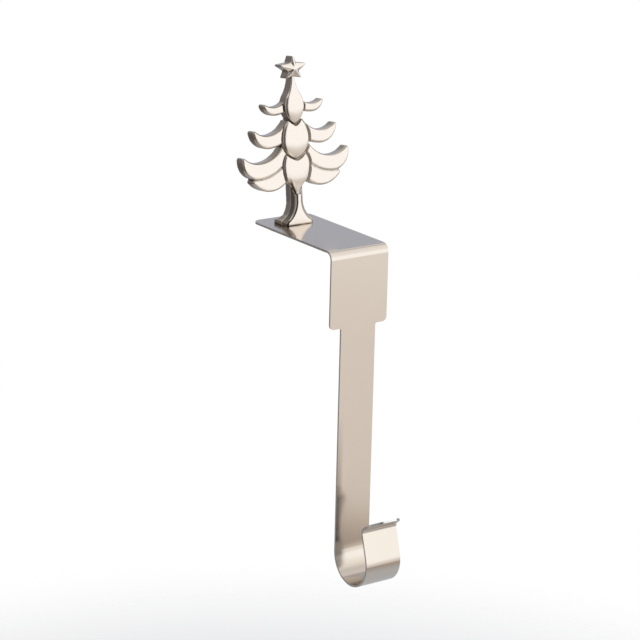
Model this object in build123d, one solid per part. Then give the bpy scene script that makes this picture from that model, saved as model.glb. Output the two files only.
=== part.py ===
from build123d import *
from math import cos, radians, sin, tan
import os

# A stocking holder that stands on a mantelpiece: one folded steel strap with a cast tree on its plate.
# Origin at the centre of the pad's underside, where it rests on the mantel. +Z is up, +X is to the right
# seen from the room, and +Y runs back to the wall. All sizes are in millimetres.

# Folded bracket
SHEET = 1.2
PLATE_WIDTH = 40.0
PLATE_DEPTH = 83.6
PLATE_CORNER = 5.5
FOLD_RADIUS = 3.8
FLAP_HEIGHT = 46.4
FLAP_CORNER = 3.0
NOTCH_CORNER = 1.2
STRAP_WIDTH = 24.2
HOOK_DROP = 184.1
HOOK_RADIUS = 15.4
LEG_LEAN = 16.3
LEG_LENGTH = 15.5
LIP_RADIUS = 3.0
LIP_RISE = 38.0
LIP_LENGTH = 5.3
LIP_CORNER = 3.0

# Pad under the plate
PAD_THICKNESS = 2.0
PAD_SIDE_INSET = 4.0
PAD_END_INSET = 8.8
PAD_CORNER = 4.0
PAD_HEAD_GAP = 2.0

# Screw that holds the casting
SCREW_DIAMETER = 3.9
SCREW_GRIP = 8.0
SCREW_HEAD_DIAMETER = 8.0
SCREW_HEAD_HEIGHT = 1.6
SCREW_CROSS_SPAN = 4.2
SCREW_CROSS_WIDTH = 0.9
SCREW_CROSS_DEPTH = 0.9
THREAD_GAP = 0.05
PLATE_HOLE_GAP = 0.3
BORE_END_GAP = 1.5

# Casting as a whole
TREE_REAR_GAP = 10.5
TREE_LEAN = 6.0
TREE_THICKNESS = 8.3
BRANCH_STEP = 1.1
TOP_BRANCH_STEP = 2.0
TIP_ROUND = 1.3
EASE_WIDTH = 1.0
EASE_DEPTH = 1.1
LOBE_EDGE_STEP = 2.1
GROOVE_WIDTH = 0.9
TOP_GROOVE_WIDTH = 1.0
GROOVE_DEPTH = 1.5
JOIN_LAP = 0.15
CUT_SPARE = 2.0

# Foot, trunk and the ridge down their front
FOOT_HALF_WIDTH = 11.2
FOOT_EDGE = 2.3
FOOT_DEPTH = 11.8
FOOT_REAR_TOP = 5.0
TRUNK_HALF_WIDTH = 4.4
TRUNK_FLARE_TOP = 14.5
TRUNK_TOP = 24.0
TRUNK_EASE_WIDTH = 3.0
TRUNK_EASE_DEPTH = 2.2
RIDGE_HALF_WIDTH = 1.3
RIDGE_FLARE_TOP = 14.5
RIDGE_TOP = 18.4
RIDGE_FOOT_HALF_WIDTH = 8.4
RIDGE_FOOT_HEIGHT = 1.7
RIDGE_EASE = 0.35

# Branch tiers, from the foot up: each is a boat shape with its tips turned up.
# Each point is (distance from the centre line, height).
LOWEST_TIP_HALF_SPAN = 32.6
LOWEST_UNDER_LOW = (18.0, 21.6)
LOWEST_UNDER_INNER = (7.0, 26.3)
THIRD_TOP_LOW = (25.5, 39.1)
THIRD_TOP_INNER = (9.0, 48.6)
THIRD_TIP = (37.2, 44.6)
THIRD_UNDER_LOW = (26.6, 29.4)
THIRD_UNDER_INNER = (9.0, 36.2)
SECOND_TOP_LOW = (19.5, 54.9)
SECOND_TOP_INNER = (6.0, 62.4)
SECOND_TIP = (29.5, 60.3)
SECOND_UNDER_LOW = (18.5, 46.9)
SECOND_UNDER_INNER = (8.0, 49.7)
TOP_TOP_LOW = (13.5, 71.1)
TOP_TOP_INNER = (4.0, 75.5)
TOP_TIP = (21.7, 75.1)
TOP_UNDER_LOW = (13.3, 65.9)
TOP_UNDER_INNER = (5.0, 67.5)

# Lobes down the middle, lowest first
SHIELD_HALF_WIDTH = 9.3
SHIELD_CROWN = 2.0
SHIELD_WIDEST = 36.0
SHIELD_SHOULDER_RADIUS = 9.0
SHIELD_SHOULDER_TURN = 62.0
SHIELD_SIDE_RADIUS = 26.0
SHIELD_SIDE_TURN = 17.0
SHIELD_HIP_RADIUS = 6.0
SHIELD_HIP_TURN = 35.0
SHIELD_TAIL_RADIUS = 14.0
SHIELD_TAIL_TURN = 40.0
SHIELD_TAIL_DROP = 1.2
ALMOND_HALF_WIDTH = 9.4
ALMOND_CROWN = 2.4
ALMOND_WIDEST = 51.0
ALMOND_TOP = 65.6
ALMOND_BOTTOM = 39.2
DROP_HALF_WIDTH = 6.8
DROP_CROWN = 2.2
DROP_WIDEST = 70.8
DROP_BOTTOM = 59.8
DROP_SHOULDER_RADIUS = 10.6
DROP_NECK_RADIUS = 22.0
DROP_NECK_TURN = 34.5

# Star: its corners down the right side are (distance from the centre line, height from its middle)
STAR_HEIGHT = 92.3
STAR_CORNERS = ((0, 8.7), (1.9, 3.7), (9.9, 2.9), (3.6, -1.3), (5.9, -5.9), (0, -3.7))
STAR_STEP = 1.2
STAR_RISE = 2.4
STAR_TIP_ROUND = 0.6

# Places worked out from the sizes above
plate_underside = PAD_THICKNESS
plate_top = plate_underside + SHEET
flap_front = -PLATE_DEPTH / 2
tree_front = PLATE_DEPTH / 2 - TREE_REAR_GAP - FOOT_DEPTH
foot_middle = tree_front + FOOT_DEPTH / 2
shoulder_height = plate_top - FLAP_HEIGHT
hook_centre_height = plate_top - HOOK_DROP
screw_bore_radius = SCREW_DIAMETER / 2 + THREAD_GAP
star_middle = Vector(0, STAR_HEIGHT)
FAR = 2 * (PLATE_DEPTH + HOOK_DROP)


def sheet_profile(start, heading, steps):
    """Closed section of a folded sheet, walked along its middle from one cut end to the other."""
    half = SHEET / 2
    left_side, right_side = [], []
    here = Vector(*start)
    for length, turn, inner_radius in steps:
        along = Vector(cos(radians(heading)), sin(radians(heading)))
        across = Vector(-along.Y, along.X)
        if length:
            there = here + along * length
            left_side.append(Line(here + across * half, there + across * half))
            right_side.append(Line(here - across * half, there - across * half))
            here = there
        if turn:
            way = 1 if turn > 0 else -1
            reach = inner_radius + half
            centre = here + across * way * reach
            from_angle = heading - 90 * way
            for side, offset in ((left_side, -half * way), (right_side, half * way)):
                side.append(CenterArc(centre, reach + offset, from_angle, turn))
            heading += turn
            out = Vector(cos(radians(heading - 90 * way)), sin(radians(heading - 90 * way)))
            here = centre + out * reach
    first = Line(right_side[0] @ 0, left_side[0] @ 0)
    last = Line(left_side[-1] @ 1, right_side[-1] @ 1)
    return make_face([first, *left_side, last, *right_side])


def bracket():
    """Plate, flap, strap, hook and lip, folded from one blank of even thickness."""
    fold_reach = FOLD_RADIUS + SHEET
    strap_run = plate_top - fold_reach - hook_centre_height
    steps = (
        (PLATE_DEPTH - fold_reach, 90, FOLD_RADIUS),
        (strap_run, LEG_LEAN - 90 - 90 - 2 * LEG_LEAN, HOOK_RADIUS),
        (LEG_LENGTH, 90 + LEG_LEAN - LIP_RISE, LIP_RADIUS),
        (LIP_LENGTH, 0, 0),
    )
    section = sheet_profile((PLATE_DEPTH / 2, plate_underside + SHEET / 2), 180, steps)
    folded = extrude(Plane.YZ * section, PLATE_WIDTH / 2, both=True)

    flap_centre = (plate_top + shoulder_height) / 2
    flap = Pos(0, flap_centre) * RectangleRounded(PLATE_WIDTH, FLAP_HEIGHT, FLAP_CORNER)
    top_square = Pos(0, flap_centre + FLAP_HEIGHT / 4) * Rectangle(PLATE_WIDTH, FLAP_HEIGHT / 2)
    strap = Pos(0, flap_centre - HOOK_DROP / 2) * Rectangle(STRAP_WIDTH, HOOK_DROP + 4 * HOOK_RADIUS)
    blank = flap + top_square + strap
    notches = [
        corner
        for corner in blank.vertices()
        if abs(abs(corner.X) - STRAP_WIDTH / 2) < 0.01 and abs(corner.Y - shoulder_height) < 0.01
    ]
    blank = fillet(notches, NOTCH_CORNER)
    folded &= extrude(Plane.XZ * blank, FAR, both=True)

    upright = folded.edges().filter_by(Axis.Z)
    rear_corners = [edge for edge in upright if edge.center().Y > PLATE_DEPTH / 2 - 0.01]
    folded = fillet(rear_corners, PLATE_CORNER)
    lip_direction = Vector(0, -sin(radians(LIP_RISE)), -cos(radians(LIP_RISE)))
    tip_corners = [
        edge
        for edge in folded.edges().filter_by(GeomType.LINE)
        if abs(edge.length - SHEET) < 0.01
        and abs(abs((edge % 0).dot(lip_direction)) - 1) < 0.001
        and edge.center().Z < shoulder_height
    ]
    folded = fillet(tip_corners, LIP_CORNER)
    hole = Cylinder(SCREW_DIAMETER / 2 + PLATE_HOLE_GAP, 4 * SHEET)
    return folded - Pos(0, foot_middle, plate_top) * hole


def pad():
    """Thin rubber pad stuck under the plate, with a window round the screw's head."""
    width = PLATE_WIDTH - 2 * PAD_SIDE_INSET
    length = PLATE_DEPTH - 2 * PAD_END_INSET
    sheet = extrude(RectangleRounded(width, length, PAD_CORNER), PAD_THICKNESS)
    window = Cylinder(SCREW_HEAD_DIAMETER / 2 + PAD_HEAD_GAP, 4 * PAD_THICKNESS)
    return sheet - Pos(0, foot_middle, 0) * window


def screw():
    """Pan-head screw from below, through the plate into the foot."""
    head = Pos(0, 0, -SCREW_HEAD_HEIGHT / 2) * Cylinder(SCREW_HEAD_DIAMETER / 2, SCREW_HEAD_HEIGHT)
    head = chamfer(head.edges().group_by(Axis.Z)[0], SCREW_HEAD_HEIGHT / 2)
    shank_length = SHEET + SCREW_GRIP
    shank = Pos(0, 0, shank_length / 2) * Cylinder(SCREW_DIAMETER / 2, shank_length)
    shank = chamfer(shank.edges().group_by(Axis.Z)[-1], SCREW_DIAMETER / 8)
    bar = Box(SCREW_CROSS_SPAN, SCREW_CROSS_WIDTH, 2 * SCREW_CROSS_DEPTH)
    cross = Pos(0, 0, -SCREW_HEAD_HEIGHT) * (bar + Rot(0, 0, 90) * bar)
    return Pos(0, foot_middle, plate_underside) * (head + shank - cross)


def mirrored_face(right_half):
    """Face from the edges of its right half, mirrored about the tree's centre line."""
    left_half = [edge.mirror(Plane.YZ) for edge in right_half]
    return make_face([*right_half, *left_half])


def bend_from(point, sideways, end):
    """Arc that leaves a low point level, to one side, and passes through its end."""
    return TangentArc(point, end, tangent=(sideways, 0))


def round_tips(face, half_span):
    """Face with its outermost corners rounded."""
    tips = [corner for corner in face.vertices() if abs(abs(corner.X) - half_span) < 0.01]
    return fillet(tips, TIP_ROUND)


def tier_face(top_low, top_inner, tip, under_low, under_inner):
    """One tier of branches: both boats, joined behind the lobes."""
    face = mirrored_face(
        [
            Line((0, top_inner[1]), top_inner),
            bend_from(top_low, -1, top_inner),
            bend_from(top_low, 1, tip),
            bend_from(under_low, 1, tip),
            bend_from(under_low, -1, under_inner),
            Line(under_inner, (0, under_inner[1])),
        ]
    )
    return round_tips(face, tip[0])


def lowest_tier_face():
    """The lowest tier tucks its top edge under the tier above and ends in a level lip."""
    lift = Vector(0, JOIN_LAP)
    groove = bend_from(Vector(*THIRD_UNDER_LOW) + lift, -1, Vector(*THIRD_UNDER_INNER) + lift)
    tip = (LOWEST_TIP_HALF_SPAN, (groove @ 0).Y)
    face = mirrored_face(
        [
            Line((0, (groove @ 1).Y), groove @ 1),
            groove,
            Line(groove @ 0, tip),
            bend_from(LOWEST_UNDER_LOW, 1, tip),
            bend_from(LOWEST_UNDER_LOW, -1, LOWEST_UNDER_INNER),
            Line(LOWEST_UNDER_INNER, (0, LOWEST_UNDER_INNER[1])),
        ]
    )
    return round_tips(face, LOWEST_TIP_HALF_SPAN)


def shield_side():
    """Right side of the lowest lobe: round shoulder, long side, and a tail that narrows on to the trunk."""
    widest = (SHIELD_HALF_WIDTH, SHIELD_WIDEST)
    shoulder = JernArc(widest, (0, 1), SHIELD_SHOULDER_RADIUS, SHIELD_SHOULDER_TURN)
    side = JernArc(widest, (0, -1), SHIELD_SIDE_RADIUS, -SHIELD_SIDE_TURN)
    hip = JernArc(side @ 1, side % 1, SHIELD_HIP_RADIUS, -SHIELD_HIP_TURN)
    tail = JernArc(hip @ 1, hip % 1, SHIELD_TAIL_RADIUS, SHIELD_TAIL_TURN)
    top = Line(shoulder @ 1, (0, (shoulder @ 1).Y))
    bottom = Line(tail @ 1, (0, (tail @ 1).Y - SHIELD_TAIL_DROP))
    return [top, shoulder, side, hip, tail, bottom]


def almond_side():
    """Right side of the middle lobe, pointed at both ends."""
    widest = (ALMOND_HALF_WIDTH, ALMOND_WIDEST)
    upper = TangentArc(widest, (0, ALMOND_TOP), tangent=(0, 1))
    lower = TangentArc(widest, (0, ALMOND_BOTTOM), tangent=(0, -1))
    return [upper, lower]


def drop_side():
    """Right side of the top lobe: a drop whose neck carries the star."""
    widest = (DROP_HALF_WIDTH, DROP_WIDEST)
    lower = TangentArc(widest, (0, DROP_BOTTOM), tangent=(0, -1))
    shoulder = JernArc(widest, (0, 1), DROP_SHOULDER_RADIUS, DROP_NECK_TURN)
    neck = JernArc(shoulder @ 1, shoulder % 1, DROP_NECK_RADIUS, -DROP_NECK_TURN)
    side = Line(neck @ 1, ((neck @ 1).X, STAR_HEIGHT))
    top = Line(side @ 1, (0, STAR_HEIGHT))
    return [lower, shoulder, neck, side, top]


def flare_face(half_width, flare_top, foot_half_width, foot_height, top):
    """Trunk outline that spreads into the foot."""
    side = Line((half_width, top), (half_width, flare_top))
    flare = TangentArc(side @ 1, (foot_half_width, foot_height), tangent=(0, -1))
    edge = Line(flare @ 1, (foot_half_width, -TREE_THICKNESS))
    base = Line(edge @ 1, (0, -TREE_THICKNESS))
    return mirrored_face([Line((0, top), side @ 0), side, flare, edge, base])


def upright_block(face, front, rear):
    """Outline given in the tree's plane, made solid between two depths behind its front."""
    return Pos(0, rear, 0) * extrude(Plane.XZ * face, rear - front)


def edges_at(solid, depth):
    """Edges that lie wholly at one depth behind the tree's front."""
    boxes = [(edge, edge.bounding_box()) for edge in solid.edges()]
    return [edge for edge, box in boxes if abs(box.min.Y - depth) < 0.01 and abs(box.max.Y - depth) < 0.01]


def eased_block(face, front, width, depth):
    """Outline made solid back to the casting's rear, with its front edges eased."""
    block = upright_block(face, front, TREE_THICKNESS)
    front_face = block.faces().sort_by(Axis.Y)[0]
    return chamfer(edges_at(block, front), width, depth, reference=front_face)


def lobe(side, crown):
    """A lobe with an oval section: its outline turned about the centre line and flattened to its crown."""
    widest = max(max((edge @ 0).X, (edge @ 1).X) for edge in side)
    points = [(edge @ end).Y for edge in side for end in (0, 1) if abs((edge @ end).X) < 0.01]
    axis = Line((0, min(points)), (0, max(points)))
    turned = revolve(Plane.XZ * make_face([*side, axis]), Axis.Z)
    pillow = Pos(0, LOBE_EDGE_STEP, 0) * scale(turned, (1, crown / widest, 1))
    return pillow + upright_block(mirrored_face(side), LOBE_EDGE_STEP, TREE_THICKNESS)


def groove_round(side, width, front):
    """Channel left round a lobe where it stands in the branches."""
    wide = offset(mirrored_face(side), width)
    return upright_block(wide, -CUT_SPARE, front + GROOVE_DEPTH)


def star():
    """Five-pointed star, faceted: ridges run from its raised middle to the tips."""
    half = Polyline(*[star_middle + Vector(*corner) for corner in STAR_CORNERS])
    face = mirrored_face(half.edges())
    reach = Vector(*STAR_CORNERS[1]).length + JOIN_LAP
    tips = [corner for corner in face.vertices() if (Vector(corner) - star_middle).length > reach]
    block = upright_block(fillet(tips, STAR_TIP_ROUND), STAR_STEP, TREE_THICKNESS)
    rim = block.faces().sort_by(Axis.Y)[0]
    peak = Vertex(0, STAR_STEP - STAR_RISE, STAR_HEIGHT)
    return block + loft([rim, peak], ruled=True)


def foot():
    """Spread of the foot behind the trunk."""
    front = BRANCH_STEP + TRUNK_EASE_DEPTH
    lean = tan(radians(TREE_LEAN))
    rear = TREE_THICKNESS / cos(radians(TREE_LEAN)) + FOOT_REAR_TOP * lean
    outline = flare_face(TRUNK_HALF_WIDTH, TRUNK_FLARE_TOP, FOOT_HALF_WIDTH, FOOT_EDGE, TRUNK_TOP)
    side = make_face(
        [
            Line((front, 0), (FOOT_DEPTH, 0)),
            Line((FOOT_DEPTH, 0), (FOOT_DEPTH, FOOT_EDGE)),
            TangentArc((rear, FOOT_REAR_TOP), (FOOT_DEPTH, FOOT_EDGE), tangent=(-lean, -1)),
            Line((rear, FOOT_REAR_TOP), (front + FOOT_REAR_TOP * lean, FOOT_REAR_TOP)),
            Line((front + FOOT_REAR_TOP * lean, FOOT_REAR_TOP), (front, 0)),
        ]
    )
    return upright_block(outline, 0, FOOT_DEPTH) & extrude(Plane.YZ * side, FOOT_HALF_WIDTH, both=True)


def tree_ornament():
    """Tree, star and foot in one casting."""
    third = tier_face(THIRD_TOP_LOW, THIRD_TOP_INNER, THIRD_TIP, THIRD_UNDER_LOW, THIRD_UNDER_INNER)
    second = tier_face(SECOND_TOP_LOW, SECOND_TOP_INNER, SECOND_TIP, SECOND_UNDER_LOW, SECOND_UNDER_INNER)
    top = tier_face(TOP_TOP_LOW, TOP_TOP_INNER, TOP_TIP, TOP_UNDER_LOW, TOP_UNDER_INNER)
    trunk = flare_face(TRUNK_HALF_WIDTH, TRUNK_FLARE_TOP, FOOT_HALF_WIDTH, FOOT_EDGE, TRUNK_TOP)
    body = eased_block(trunk, BRANCH_STEP, TRUNK_EASE_WIDTH, TRUNK_EASE_DEPTH)
    tiers = (
        (lowest_tier_face(), BRANCH_STEP),
        (third, BRANCH_STEP),
        (second, BRANCH_STEP),
        (top, TOP_BRANCH_STEP),
    )
    for face, step in tiers:
        body += eased_block(face, step, EASE_WIDTH, EASE_DEPTH)
    lobes = (
        (shield_side(), SHIELD_CROWN, GROOVE_WIDTH, BRANCH_STEP),
        (almond_side(), ALMOND_CROWN, GROOVE_WIDTH, BRANCH_STEP),
        (drop_side(), DROP_CROWN, TOP_GROOVE_WIDTH, TOP_BRANCH_STEP),
    )
    for side, crown, groove_width, step in lobes:
        body -= groove_round(side, groove_width, step)
        body += lobe(side, crown)
    ridge = flare_face(
        RIDGE_HALF_WIDTH, RIDGE_FLARE_TOP, RIDGE_FOOT_HALF_WIDTH, RIDGE_FOOT_HEIGHT, RIDGE_TOP
    )
    ridge_block = upright_block(ridge, 0, TREE_THICKNESS)
    body += chamfer(edges_at(ridge_block, 0), RIDGE_EASE)
    body += star()
    body = Rot(-TREE_LEAN, 0, 0) * body
    body -= Pos(0, 0, -FAR / 2) * Box(FAR, FAR, FAR)
    body += foot()
    bore = Cylinder(screw_bore_radius, 2 * (SCREW_GRIP + BORE_END_GAP))
    body -= Pos(0, FOOT_DEPTH / 2, 0) * bore
    return Pos(0, tree_front, plate_top) * body


pieces = {
    "bracket": bracket,
    "pad": pad,
    "fixing_screw": screw,
    "tree_ornament": tree_ornament,
}

os.makedirs("parts", exist_ok=True)
for name, make in pieces.items():
    export_step(make(), f"parts/{name}.step")
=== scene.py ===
from math import cos, radians, sin

import bpy
from mathutils import Matrix, Vector


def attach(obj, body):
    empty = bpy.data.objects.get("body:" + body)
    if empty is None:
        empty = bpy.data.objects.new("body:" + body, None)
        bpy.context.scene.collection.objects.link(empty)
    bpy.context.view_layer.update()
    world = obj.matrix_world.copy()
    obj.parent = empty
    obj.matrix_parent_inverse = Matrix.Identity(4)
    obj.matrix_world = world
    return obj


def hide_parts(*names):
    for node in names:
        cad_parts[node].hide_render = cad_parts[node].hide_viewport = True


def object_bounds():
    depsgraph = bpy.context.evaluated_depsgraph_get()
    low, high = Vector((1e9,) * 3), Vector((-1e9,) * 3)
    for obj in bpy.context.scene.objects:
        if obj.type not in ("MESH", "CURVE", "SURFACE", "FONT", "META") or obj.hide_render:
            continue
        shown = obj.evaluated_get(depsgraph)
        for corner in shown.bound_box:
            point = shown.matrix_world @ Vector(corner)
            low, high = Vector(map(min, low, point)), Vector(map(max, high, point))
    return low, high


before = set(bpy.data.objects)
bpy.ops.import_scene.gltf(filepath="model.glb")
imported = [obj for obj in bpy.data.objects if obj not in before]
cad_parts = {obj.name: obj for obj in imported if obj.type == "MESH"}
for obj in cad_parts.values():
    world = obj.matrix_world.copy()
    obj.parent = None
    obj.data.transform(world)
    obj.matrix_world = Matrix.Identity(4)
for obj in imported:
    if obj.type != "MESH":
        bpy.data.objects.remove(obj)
cad_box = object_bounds()

MM = 0.001
RIGHTWARD = (1, 0, 0)
LEFTWARD = (-1, 0, 0)
BACKWARD = (0, 1, 0)
FORWARD = (0, -1, 0)
UPWARD = (0, 0, 1)
WHITE = (1, 1, 1)

# Camera: its centre in millimetres, and the angles of its view in radians
CAMERA_CENTRE = (-787.5, -1131.6, 366.2)
CAMERA_AZIMUTH = -0.609182
CAMERA_ELEVATION = 0.293646
CAMERA_ROLL = -0.0239285
CAMERA_CLIP = (0.05, 20)
FOCAL_PIXELS = 2429
IMAGE_PIXELS = 640
SENSOR_MM = 36

# Studio tent: what the metal reflects. Heading 0 faces the room along -Y and grows towards +X, in degrees
TENT_RADIUS = 4.0
TENT_SEGMENTS = 64
TENT_RINGS = 32
# The walls' colour by heading, at the object's own height
WALLS = (
    (-180, (0.30, 0.30, 0.31)),
    (-150, (0.17, 0.16, 0.16)),
    (-115, (0.17, 0.16, 0.16)),
    (-90, (0.34, 0.34, 0.35)),
    (-42, (0.36, 0.36, 0.37)),
    (-36, (0.11, 0.11, 0.11)),
    (-12, (0.11, 0.11, 0.11)),
    (-4, (1.20, 1.22, 1.25)),
    (92, (1.20, 1.22, 1.25)),
    (104, (0.30, 0.30, 0.31)),
    (114, (0.30, 0.30, 0.31)),
    (124, (0.46, 0.49, 0.58)),
    (160, (0.46, 0.49, 0.58)),
    (180, (0.30, 0.30, 0.31)),
)
# How far the walls are dimmed by elevation
WALL_LEVELS = (
    (-90, 0.40),
    (-50, 0.45),
    (-30, (0.58, 0.54, 0.50)),
    (-20, (0.68, 0.635, 0.60)),
    (-17, (0.68, 0.645, 0.615)),
    (-8, 1.0),
    (90, 1.0),
)
# The ceiling's brightness by elevation, how much of the walls' colour it takes, and where it meets them
CEILING = (
    (0, 1.15),
    (35, 1.15),
    (60, 0.97),
    (73, 0.82),
    (90, 0.68),
)
CEILING_WALL_SHARE = 0.45
CEILING_EDGE = (34, 44)

# Floor and card are both discs
DISC_VERTICES = 64

# Dim card under the hook, seen only in reflections, with its colour from the middle to the rim
CARD_DROP = 0.10
CARD_MIDDLE = (0.0, -0.05)
CARD_RADIUS = 0.285
CARD_FADE = 0.10
CARD_LIGHT = (
    (0, (0.51, 0.53, 0.57)),
    (0.35, (0.51, 0.53, 0.57)),
    (0.75, (0.40, 0.34, 0.30)),
    (1, (0.45, 0.40, 0.34)),
)

# Floor, with the light of its own that it shows where it is seen or mirrored
FLOOR_DROP = 0.25
FLOOR_RADIUS = 0.35
FLOOR_FADE = 0.25
FLOOR_COLOUR = 0.8
FLOOR_GLOW = 0.27

# Mottle and fine relief that all the finishes share
NOISE_DETAIL = 4.0
NOISE_ROUGHNESS = 0.6
RELIEF_DEPTH = 0.1 * MM

# Sheet nickel: plain tint and its mottle, polishing lines along the strip, and cut edges, facing sideways
NICKEL_TINT = (0.79, 0.71, 0.62)
SHEET_MOTTLE_SCALE = 90
SHEET_MOTTLE_LOW = 0.965
SHEET_ROUGHNESS = (0.12, 0.17)
LINES_STRETCH = (1, 0.03, 0.03)
LINES_SCALE = 1500
LINES_DETAIL = 3.0
LINES_BUMP = 0.06
CUT_FACING = (0.6, 0.8)
EDGE_GREY = (0.68, 0.65, 0.61)
EDGE_ROUGHNESS = 0.5
EDGE_METALLIC = 0.35

# Lip's end: the way it faces, where it lies, and its painted reflection, how bright it is from left to
# right
LIP_END_NORMAL = (0, -0.788, 0.616)
LIP_END_FACING = (0.9, 0.97)
LIP_END_REACH = (70 * MM, 71 * MM)
LIP_END_HEIGHT = (-159 * MM, -158 * MM)
STRAP_HALF_WIDTH = 12.1 * MM
LIP_END_PAINTED_SHEEN = (
    (0, 0.25),
    (0.33, 0.20),
    (0.42, 0.06),
    (0.5, 0.7),
    (0.84, 0.8),
    (0.88, 0.12),
    (1, 0.18),
)

# Bowl of the hook, with painted shade: where it starts, and the shade's levels by how it faces along Y
BOWL_TOP = (-184 * MM, -187 * MM)
BOWL_RISE = (0.2, 0.4)
BOWL_PAINTED_SHADE = (
    (-0.95, (1.0, 1.0, 1.0)),
    (-0.82, (0.84, 0.82, 0.77)),
    (-0.68, (0.62, 0.60, 0.59)),
    (-0.5, (0.72, 0.69, 0.69)),
    (-0.19, (0.52, 0.51, 0.52)),
    (0.15, (0.30, 0.28, 0.27)),
    (1.0, (0.6, 0.6, 0.6)),
)

# Outside of the fold, with painted shade: by how it faces up, from what height, and the shade's tone
FOLD_FACING = (0.35, 0.5, 0.85, 0.97)
FOLD_HEIGHT = (-20 * MM, -15 * MM)
FOLD_PAINTED_SHADE = (0.85, 0.83, 0.82)

# Arm, told from the hook's leg by its depth, and the painted shade on its left margin: it
# starts this far left of the middle, darkens on the way down, and ends above the hook
ARM_DEPTH = (-50 * MM, -48 * MM)
MARGIN_REACH = (8.0 * MM, 11.0 * MM)
MARGIN_HEIGHT = (-95 * MM, -160 * MM)
MARGIN_END = (-176 * MM, -174 * MM)
MARGIN_PAINTED_SHADE = 0.42

# Arm's last millimetres above the hook, where the rolled bend starts softly: the heights between which the
# sheet is shaded as turned up a little, and by how much
BEND_START = (-177.2 * MM, -180.8 * MM, -181.2 * MM, -183.5 * MM)
BEND_TURN = 0.046

# Casting: how far its crisp edges are melted
SOFT_VOXEL = 0.36 * MM
SOFT_FACTOR = 0.5
SOFT_PASSES = 8

# Cast nickel: plain tint and its mottle, and a browner painted shade where it faces up
CAST_TINT = (0.83, 0.755, 0.675)
CAST_MOTTLE_SCALE = 260
CAST_MOTTLE_LOW = 0.96
CAST_ROUGHNESS = (0.11, 0.17)
CAST_BUMP = 0.12
CAST_TOP_PAINTED_SHADE = (0.70, 0.61, 0.51)
CAST_TOP_FACING = (0.6, 0.85)

# Tree: a point of its trunk's front at the plate, in metres, and the directions into it and up along it
TREE_ORIGIN = Vector((0, 19.5, 3.2)) * MM
TREE_LEAN = radians(6)
INTO_TREE = Vector((0, cos(TREE_LEAN), -sin(TREE_LEAN)))
UP_TREE = Vector((0, sin(TREE_LEAN), cos(TREE_LEAN)))

# Casting's hollows, darker and duller, partly as the polish doesn't reach them and partly as painted
# shade, darker on the left: corners by how open they are, and what faces forward behind the branches'
# fronts, which lie deeper on the top tier than below it
HOLLOW_REACH = 1.8 * MM
HOLLOW_SAMPLES = 12
HOLLOW_OPENING = (0.92, 0.55)
RECESS_DEPTH = (1.4 * MM, 2.3 * MM)
TOP_TIER = (64 * MM, 66 * MM)
RECESS_FADE = 0.6 * MM
RECESS_FACING = (0.45, 0.7)
HOLLOW_ROUGHNESS = 0.35
HOLLOW_AND_SHADE_LEFT = (0.22, 0.19, 0.16)
HOLLOW_AND_SHADE_RIGHT = (0.48, 0.43, 0.37)
HOLLOW_CHANGE = (-1 * MM, 1 * MM)

# Painted shade, all left of the middle. The one beside the lowest lobe's tail is a slanting dark line on
# the front, which starts, is full, fades and ends at these distances along a direction square to it, given
# sideways and up, and at these heights
SHADE_BROWN = (0.10, 0.08, 0.065)
SHADE_LEFT = (0, -1 * MM)
SHADE_ACROSS = (0.912, 0.41)
SHADE_BAND = (4.3 * MM, 6.2 * MM, 6.85 * MM, 7.4 * MM)
SHADE_HEIGHT = (18 * MM, 19 * MM, 25 * MM, 29 * MM)
SHADE_FRONT = (2.6 * MM, 2.2 * MM)
# The two other painted shades run along the front edges of the trunk and of the foot
TRUNK_SHADE_HEIGHT = (20 * MM, 18 * MM)
TRUNK_SHADE_DEPTH = (0.1 * MM, 0.3 * MM, 0.7 * MM, 1.2 * MM)
FOOT_SHADE_HEIGHT = (3.4 * MM, 2.6 * MM)
FOOT_SHADE_DEPTH = (0.35 * MM, 0.7 * MM, 1.4 * MM, 2.0 * MM)

# Zinc-plated steel
STEEL_BRIGHT = (0.62, 0.62, 0.64)
STEEL_DULL = (0.52, 0.53, 0.55)
STEEL_MOTTLE_SCALE = 900
STEEL_ROUGHNESS = (0.25, 0.4)
STEEL_BUMP = 0.2

# Rubber
RUBBER_DARK = (0.030, 0.030, 0.031)
RUBBER_PALE = (0.050, 0.050, 0.051)
GRAIN_SCALE = 1400
GRAIN_DETAIL = 2.0
GRAIN_BUMP = 0.5
RUBBER_ROUGHNESS = (0.7, 0.85)


def rgba(colour, level=1):
    """Colour for a node's socket, at a given brightness."""
    return tuple(level * part for part in colour) + (1,)


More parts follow.
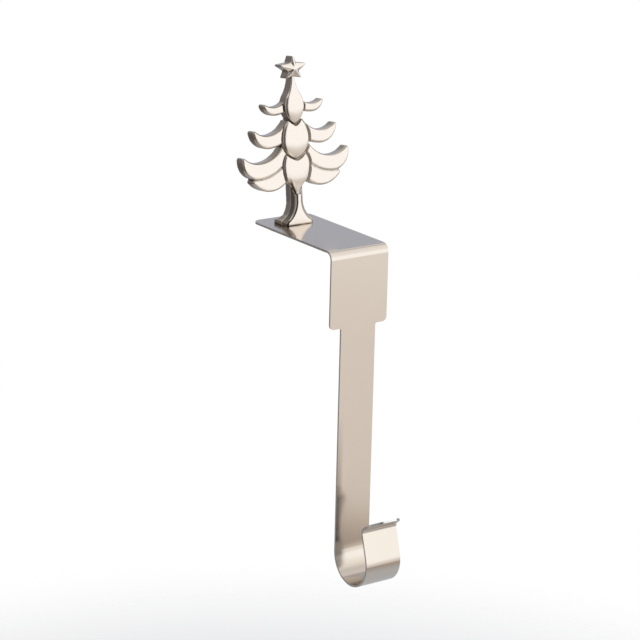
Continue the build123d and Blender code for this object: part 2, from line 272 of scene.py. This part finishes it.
class Nodes:
    """Node tree of a material or world, with short calls for the nodes that several of them need."""

    def __init__(self, tree):
        self.tree = tree
        tree.nodes.clear()

    def add(self, kind, inputs=None, **settings):
        """New node with its settings, and with inputs that are plain values or other nodes' outputs."""
        node = self.tree.nodes.new(kind)
        for name, value in settings.items():
            setattr(node, name, value)
        for name, value in (inputs or {}).items():
            if isinstance(value, bpy.types.NodeSocket):
                self.tree.links.new(value, node.inputs[name])
            else:
                node.inputs[name].default_value = value
        return node

    def surface(self):
        """Place of a point of the surface, and the way it faces, in the object's own axes."""
        outputs = self.add("ShaderNodeTexCoord").outputs
        return outputs["Object"], outputs["Normal"]

    def math(self, operation, *values):
        """Number worked out from one to three others."""
        return self.add("ShaderNodeMath", dict(enumerate(values)), operation=operation).outputs[0]

    def vector(self, operation, *vectors):
        """Vector worked out from one or two others."""
        return self.add("ShaderNodeVectorMath", dict(enumerate(vectors)), operation=operation).outputs[0]

    def along(self, vector, direction):
        """How far a vector reaches in a direction."""
        inputs = {0: vector, 1: direction}
        return self.add("ShaderNodeVectorMath", inputs, operation="DOT_PRODUCT").outputs["Value"]

    def above(self, value, low, high, interpolation="LINEAR"):
        """Mask that rises from 0 to 1 as a value goes from low to high. It falls where high is lower."""
        inputs = {"Value": value, "From Min": low, "From Max": high}
        return self.add("ShaderNodeMapRange", inputs, interpolation_type=interpolation).outputs[0]

    def band(self, value, start, full, last, end):
        """Mask that is full between two values and fades out on both sides of them."""
        return self.both(self.above(value, start, full), self.above(value, end, last))

    def both(self, one, other):
        """Mask of what two masks share."""
        return self.math("MULTIPLY", one, other)

    def either(self, one, other):
        """Mask of what is in one mask or the other."""
        return self.math("MAXIMUM", one, other)

    def between(self, mask, low, high):
        """Level that goes from one value to another as a mask goes from 0 to 1."""
        return self.add("ShaderNodeMapRange", {"Value": mask, "To Min": low, "To Max": high}).outputs[0]

    def mix(self, share, one, other, blend="MIX"):
        """Colour that goes from one to the other as a share goes from 0 to 1."""
        inputs = {0: share, 6: one, 7: other}
        return self.add("ShaderNodeMix", inputs, data_type="RGBA", blend_type=blend).outputs[2]

    def palette(self, share, stops, low=0, high=1):
        """Colour or level read off a list of stops, whose places run from low to high."""
        node = self.add("ShaderNodeValToRGB", {"Fac": share})
        points = node.color_ramp.elements
        while len(points) < len(stops):
            points.new(0.5)
        for point, (place, colour) in zip(points, stops):
            point.position = (place - low) / (high - low)
            point.color = rgba(colour) if isinstance(colour, tuple) else rgba(WHITE, colour)
        return node.outputs["Color"]

    def by_angle(self, angle, stops, low, high):
        """Colour or level read off a list of stops by an angle. The stops and limits are in degrees."""
        return self.palette(self.above(angle, radians(low), radians(high)), stops, low, high)

    def noise(self, place, scale, detail=NOISE_DETAIL):
        """Fine even mottle from 0 to 1."""
        inputs = {"Vector": place, "Scale": scale, "Detail": detail, "Roughness": NOISE_ROUGHNESS}
        return self.add("ShaderNodeTexNoise", inputs).outputs[0]

    def finish(self, colour, roughness, height, bump, metallic, facing=None):
        """Surface shader with a fine relief, shaded as if it faced the way that is given, if one is."""
        inputs = {"Height": height, "Strength": bump, "Distance": RELIEF_DEPTH}
        if facing is not None:
            inputs["Normal"] = facing
        relief = self.add("ShaderNodeBump", inputs).outputs["Normal"]
        shader = self.add(
            "ShaderNodeBsdfPrincipled",
            {"Base Color": colour, "Metallic": metallic, "Roughness": roughness, "Normal": relief},
        )
        self.add("ShaderNodeOutputMaterial", {"Surface": shader.outputs["BSDF"]})


def new_material(name):
    """Empty node material, and the helper that fills it."""
    material = bpy.data.materials.new(name)
    material.use_nodes = True
    return material, Nodes(material.node_tree)


def coat(mesh, material):
    """Gives a mesh its one material."""
    mesh.materials.clear()
    mesh.materials.append(material)


def add_camera():
    """Camera at the photograph's place, with its view given by azimuth, elevation and roll."""
    back = Vector(
        (
            sin(CAMERA_AZIMUTH) * cos(CAMERA_ELEVATION),
            -cos(CAMERA_AZIMUTH) * cos(CAMERA_ELEVATION),
            sin(CAMERA_ELEVATION),
        )
    )
    level = (-back).cross(Vector(UPWARD)).normalized()
    lower = (-back).cross(level)
    right = cos(CAMERA_ROLL) * level + sin(CAMERA_ROLL) * lower
    down = cos(CAMERA_ROLL) * lower - sin(CAMERA_ROLL) * level
    data = bpy.data.cameras.new("camera")
    data.sensor_width = SENSOR_MM
    data.lens = FOCAL_PIXELS / IMAGE_PIXELS * SENSOR_MM
    data.clip_start, data.clip_end = CAMERA_CLIP
    camera = bpy.data.objects.new("camera", data)
    place = Matrix((right, -down, back)).transposed().to_4x4()
    place.translation = Vector(CAMERA_CENTRE) * MM
    camera.matrix_world = place
    bpy.context.scene.collection.objects.link(camera)
    bpy.context.scene.camera = camera


def add_world():
    """Plain white world behind the object."""
    world = bpy.data.worlds.new("backdrop")
    world.use_nodes = True
    bpy.context.scene.world = world
    nodes = Nodes(world.node_tree)
    white = nodes.add("ShaderNodeBackground", {"Color": rgba(WHITE), "Strength": 1.0})
    nodes.add("ShaderNodeOutputWorld", {"Surface": white.outputs[0]})


def add_tent():
    """Studio tent of soft panes round the object. The camera looks through it at the pale world."""
    bpy.ops.mesh.primitive_uv_sphere_add(
        segments=TENT_SEGMENTS, ring_count=TENT_RINGS, radius=TENT_RADIUS
    )
    tent = bpy.context.object
    tent.name = "studio_tent"
    tent.visible_camera = False
    material, nodes = new_material("studio_tent")
    place, _ = nodes.surface()
    way = nodes.add("ShaderNodeSeparateXYZ", {0: nodes.vector("NORMALIZE", place)}).outputs
    heading = nodes.math("ARCTAN2", way["X"], nodes.math("MULTIPLY", way["Y"], -1.0))
    elevation = nodes.math("ARCSINE", way["Z"])
    walls = nodes.by_angle(heading, WALLS, -180, 180)
    lit_walls = nodes.mix(1.0, walls, nodes.by_angle(elevation, WALL_LEVELS, -90, 90), "MULTIPLY")
    ceiling_tint = nodes.mix(CEILING_WALL_SHARE, rgba(WHITE), walls)
    ceiling = nodes.mix(1.0, nodes.by_angle(elevation, CEILING, 0, 90), ceiling_tint, "MULTIPLY")
    edge_low, edge_high = CEILING_EDGE
    overhead = nodes.above(elevation, radians(edge_low), radians(edge_high))
    light = nodes.add("ShaderNodeEmission", {"Color": nodes.mix(overhead, lit_walls, ceiling)})
    nodes.add("ShaderNodeOutputMaterial", {"Surface": light.outputs[0]})
    coat(tent.data, material)


def faded_disc(name, radius, fade, place, surface):
    """Level disc that fades out at its rim and can't be seen from below."""
    bpy.ops.mesh.primitive_circle_add(
        vertices=DISC_VERTICES, radius=radius + fade, fill_type="NGON", location=place
    )
    disc = bpy.context.object
    disc.name = name
    material, nodes = new_material(name)
    spot, _ = nodes.surface()
    distance = nodes.add("ShaderNodeVectorMath", {0: spot}, operation="LENGTH").outputs["Value"]
    rim = nodes.above(distance, radius, radius + fade, "SMOOTHSTEP")
    absent = nodes.either(rim, nodes.add("ShaderNodeNewGeometry").outputs["Backfacing"])
    clear = nodes.add("ShaderNodeBsdfTransparent").outputs[0]
    faded = nodes.add("ShaderNodeMixShader", {0: absent, 1: surface(nodes, distance), 2: clear})
    nodes.add("ShaderNodeOutputMaterial", {"Surface": faded.outputs[0]})
    coat(disc.data, material)
    return disc


def card_surface(nodes, distance):
    """Dim light, cool in the middle and brown towards the rim."""
    share = nodes.math("DIVIDE", distance, CARD_RADIUS + CARD_FADE)
    return nodes.add("ShaderNodeEmission", {"Color": nodes.palette(share, CARD_LIGHT)}).outputs[0]


def add_card():
    """Dim card close under the hook, seen only in reflections, as the dim floor of the studio is."""
    place = (*CARD_MIDDLE, cad_box[0].z - CARD_DROP)
    card = faded_disc("under_card", CARD_RADIUS, CARD_FADE, place, card_surface)
    card.visible_camera = False
    card.visible_diffuse = False
    card.visible_shadow = False


def floor_surface(nodes, _distance):
    """White matt paint, lifted a little towards the backdrop's white where it is seen or mirrored."""
    matt = nodes.add("ShaderNodeBsdfDiffuse", {"Color": rgba(WHITE, FLOOR_COLOUR)})
    path = nodes.add("ShaderNodeLightPath").outputs
    mirrored = nodes.math("ADD", path["Is Glossy Ray"], path["Is Transmission Ray"])
    seen = nodes.math("ADD", path["Is Camera Ray"], mirrored)
    lift = nodes.math("MULTIPLY", seen, FLOOR_GLOW)
    glow = nodes.add("ShaderNodeEmission", {"Color": rgba(WHITE), "Strength": lift})
    return nodes.add("ShaderNodeAddShader", {0: matt.outputs[0], 1: glow.outputs[0]}).outputs[0]


def add_floor():
    """Pale floor well below the hook, which takes its soft shadow and fades into the white backdrop."""
    faded_disc("floor", FLOOR_RADIUS, FLOOR_FADE, (0, 0, cad_box[0].z - FLOOR_DROP), floor_surface)


def lip_end(nodes, place, normal):
    """Mask of the lip's sheared end, and its painted reflection along it, in dark and bright streaks."""
    facing = nodes.above(nodes.along(normal, LIP_END_NORMAL), *LIP_END_FACING)
    reach = nodes.above(nodes.along(place, FORWARD), *LIP_END_REACH)
    high = nodes.above(nodes.along(place, UPWARD), *LIP_END_HEIGHT)
    sideways = nodes.above(nodes.along(place, RIGHTWARD), -STRAP_HALF_WIDTH, STRAP_HALF_WIDTH)
    return nodes.both(facing, nodes.both(reach, high)), nodes.palette(sideways, LIP_END_PAINTED_SHEEN)


def bend_painted_shade(nodes, place, normal):
    """Painted shade on the hook's inner face and on the fold's outside, as a brightness that is 1
    everywhere else.
    """
    bowl_shades = nodes.palette(nodes.above(nodes.along(normal, BACKWARD), -1, 1), BOWL_PAINTED_SHADE, -1, 1)
    height = nodes.along(place, UPWARD)
    rise = nodes.along(normal, UPWARD)
    bowl = nodes.both(nodes.above(height, *BOWL_TOP), nodes.above(rise, *BOWL_RISE))
    fold = nodes.both(nodes.above(height, *FOLD_HEIGHT), nodes.band(rise, *FOLD_FACING))
    return nodes.mix(bowl, nodes.mix(fold, rgba(WHITE), rgba(FOLD_PAINTED_SHADE)), bowl_shades)


def painted_margin_shade(nodes, place):
    """Mask of the painted shade on the arm's left margin, from none at its middle height to full above the
    hook.
    """
    aside = nodes.above(nodes.along(place, LEFTWARD), *MARGIN_REACH)
    height = nodes.along(place, UPWARD)
    lower = nodes.both(nodes.above(height, *MARGIN_HEIGHT), nodes.above(height, *MARGIN_END))
    arm = nodes.above(nodes.along(place, BACKWARD), *ARM_DEPTH)
    return nodes.both(nodes.both(aside, arm), lower)


def bend_facing(nodes, place):
    """Way that the sheet faces, turned a little on the arm's last millimetres above the hook."""
    normal = nodes.add("ShaderNodeNewGeometry").outputs["Normal"]
    start = nodes.band(nodes.along(place, UPWARD), *BEND_START)
    arm = nodes.above(nodes.along(place, BACKWARD), *ARM_DEPTH)
    forward = nodes.along(normal, tuple(BEND_TURN * part for part in FORWARD))
    turn = nodes.add("ShaderNodeCombineXYZ", {"Z": nodes.both(forward, nodes.both(start, arm))})
    return nodes.vector("NORMALIZE", nodes.vector("ADD", normal, turn.outputs[0]))


def sheet_nickel():
    """Nickel-plated sheet: lengthwise polishing lines, a faint mottle, rougher grey cut edges, painted
    shade on the hook's bowl, the fold and the arm's left margin, and a painted reflection on the lip's
    end.
    """
    material, nodes = new_material("sheet_nickel")
    place, normal = nodes.surface()
    lines = nodes.noise(nodes.vector("MULTIPLY", place, LINES_STRETCH), LINES_SCALE, LINES_DETAIL)
    mottle = nodes.noise(place, SHEET_MOTTLE_SCALE)
    cut = nodes.above(nodes.math("ABSOLUTE", nodes.along(normal, RIGHTWARD)), *CUT_FACING)
    plain = nodes.mix(mottle, rgba(NICKEL_TINT), rgba(NICKEL_TINT, SHEET_MOTTLE_LOW))
    # Painted shade on the hook's bowl and on the fold's outside
    bend_shaded = nodes.mix(1.0, plain, bend_painted_shade(nodes, place, normal), "MULTIPLY")
    # Painted shade on the arm's left margin
    shaded = nodes.mix(painted_margin_shade(nodes, place), bend_shaded, rgba(NICKEL_TINT, MARGIN_PAINTED_SHADE))
    edged = nodes.mix(cut, shaded, rgba(EDGE_GREY))
    # Painted reflection on the lip's end: dark and bright streaks
    sheared, painted_sheen = lip_end(nodes, place, normal)
    colour = nodes.mix(sheared, edged, painted_sheen)
    polished = nodes.between(lines, *SHEET_ROUGHNESS)
    roughness = nodes.add("ShaderNodeMix", {0: cut, 2: polished, 3: EDGE_ROUGHNESS}).outputs[0]
    metallic = nodes.between(cut, 1.0, EDGE_METALLIC)
    nodes.finish(colour, roughness, lines, LINES_BUMP, metallic, bend_facing(nodes, place))
    return material


def tree_places(nodes, place):
    """Depth behind the trunk's front, and height up along the tree."""
    depth = nodes.math("SUBTRACT", nodes.along(place, INTO_TREE), TREE_ORIGIN.dot(INTO_TREE))
    height = nodes.math("SUBTRACT", nodes.along(place, UP_TREE), TREE_ORIGIN.dot(UP_TREE))
    return depth, height


def recess(nodes, depth, height, normal):
    """Mask of what faces forward but lies behind the branches' fronts, where the polish doesn't reach and
    shade is painted.
    """
    start = nodes.between(nodes.above(height, *TOP_TIER), *RECESS_DEPTH)
    behind = nodes.above(nodes.math("SUBTRACT", depth, start), 0, RECESS_FADE)
    return nodes.both(behind, nodes.above(nodes.along(normal, -INTO_TREE), *RECESS_FACING))


def painted_shade(nodes, place, depth, height):
    """Mask of the painted shade on the casting's left front edges."""
    x = nodes.along(place, RIGHTWARD)
    sideways, up = SHADE_ACROSS
    across = nodes.math("MULTIPLY_ADD", height, up, nodes.math("MULTIPLY", x, sideways))
    line = nodes.both(nodes.band(across, *SHADE_BAND), nodes.band(height, *SHADE_HEIGHT))
    tail = nodes.both(line, nodes.above(depth, *SHADE_FRONT))
    trunk = nodes.both(nodes.band(depth, *TRUNK_SHADE_DEPTH), nodes.above(height, *TRUNK_SHADE_HEIGHT))
    foot = nodes.both(nodes.band(depth, *FOOT_SHADE_DEPTH), nodes.above(height, *FOOT_SHADE_HEIGHT))
    shades = nodes.either(nodes.either(trunk, foot), tail)
    return nodes.both(shades, nodes.above(x, *SHADE_LEFT))


def cast_nickel():
    """Nickel-plated casting: polished, with darker and duller hollows that also carry painted shade,
    browner painted shade where it faces up, and a few dark marks of painted shade.
    """
    material, nodes = new_material("cast_nickel")
    place, normal = nodes.surface()
    depth, height = tree_places(nodes, place)
    mottle = nodes.noise(place, CAST_MOTTLE_SCALE)
    opening = nodes.add("ShaderNodeAmbientOcclusion", {"Distance": HOLLOW_REACH}, samples=HOLLOW_SAMPLES)
    corner = nodes.above(opening.outputs["AO"], *HOLLOW_OPENING)
    hollow_and_shade = nodes.either(corner, recess(nodes, depth, height, normal))
    plain = nodes.mix(mottle, rgba(CAST_TINT), rgba(CAST_TINT, CAST_MOTTLE_LOW))
    # Browner painted shade on faces that look up
    top_shade = nodes.above(nodes.along(normal, UPWARD), *CAST_TOP_FACING)
    top_shaded = nodes.mix(top_shade, plain, rgba(CAST_TOP_PAINTED_SHADE))
    right = nodes.above(nodes.along(place, RIGHTWARD), *HOLLOW_CHANGE)
    # Hollows darker, partly as the polish doesn't reach them and partly as painted shade, darkest on the
    # left
    hollow_shaded = nodes.mix(hollow_and_shade, top_shaded, nodes.mix(right, rgba(HOLLOW_AND_SHADE_LEFT), rgba(HOLLOW_AND_SHADE_RIGHT)))
    # Dark painted shade along the trunk's and foot's front edges and beside the lowest lobe's tail
    colour = nodes.mix(painted_shade(nodes, place, depth, height), hollow_shaded, rgba(SHADE_BROWN))
    polished = nodes.between(mottle, *CAST_ROUGHNESS)
    roughness = nodes.add("ShaderNodeMix", {0: hollow_and_shade, 2: polished, 3: HOLLOW_ROUGHNESS}).outputs[0]
    nodes.finish(colour, roughness, mottle, CAST_BUMP, metallic=1.0)
    return material


def screw_steel():
    """Zinc-plated steel, a little dull."""
    material, nodes = new_material("screw_steel")
    place, _ = nodes.surface()
    mottle = nodes.noise(place, STEEL_MOTTLE_SCALE)
    colour = nodes.mix(mottle, rgba(STEEL_BRIGHT), rgba(STEEL_DULL))
    nodes.finish(colour, nodes.between(mottle, *STEEL_ROUGHNESS), mottle, STEEL_BUMP, metallic=1.0)
    return material


def pad_rubber():
    """Matt black rubber with a fine grain."""
    material, nodes = new_material("pad_rubber")
    place, _ = nodes.surface()
    grain = nodes.noise(place, GRAIN_SCALE, GRAIN_DETAIL)
    colour = nodes.mix(grain, rgba(RUBBER_DARK), rgba(RUBBER_PALE))
    nodes.finish(colour, nodes.between(grain, *RUBBER_ROUGHNESS), grain, GRAIN_BUMP, metallic=0.0)
    return material


def softened(node, name, material):
    """Copy of a CAD casting with its crisp edges melted a little, as a polished casting's are."""
    piece = bpy.data.objects.new(name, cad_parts[node].data.copy())
    bpy.context.scene.collection.objects.link(piece)
    melt = piece.modifiers.new("melt", "REMESH")
    melt.mode = "VOXEL"
    melt.voxel_size = SOFT_VOXEL
    melt.use_smooth_shade = True
    ease = piece.modifiers.new("ease", "SMOOTH")
    ease.factor = SOFT_FACTOR
    ease.iterations = SOFT_PASSES
    graph = bpy.context.evaluated_depsgraph_get()
    mesh = bpy.data.meshes.new_from_object(piece.evaluated_get(graph))
    mesh.name = name
    piece.modifiers.clear()
    piece.data = mesh
    coat(mesh, material)
    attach(piece, "root")
    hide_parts(node)


bpy.context.scene.view_settings.view_transform = "Standard"
add_camera()
add_world()
add_tent()
add_card()
add_floor()

coat(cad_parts["bracket"].data, sheet_nickel())
coat(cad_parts["fixing_screw"].data, screw_steel())
coat(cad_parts["pad"].data, pad_rubber())
softened("tree_ornament", "tree_casting", cast_nickel())
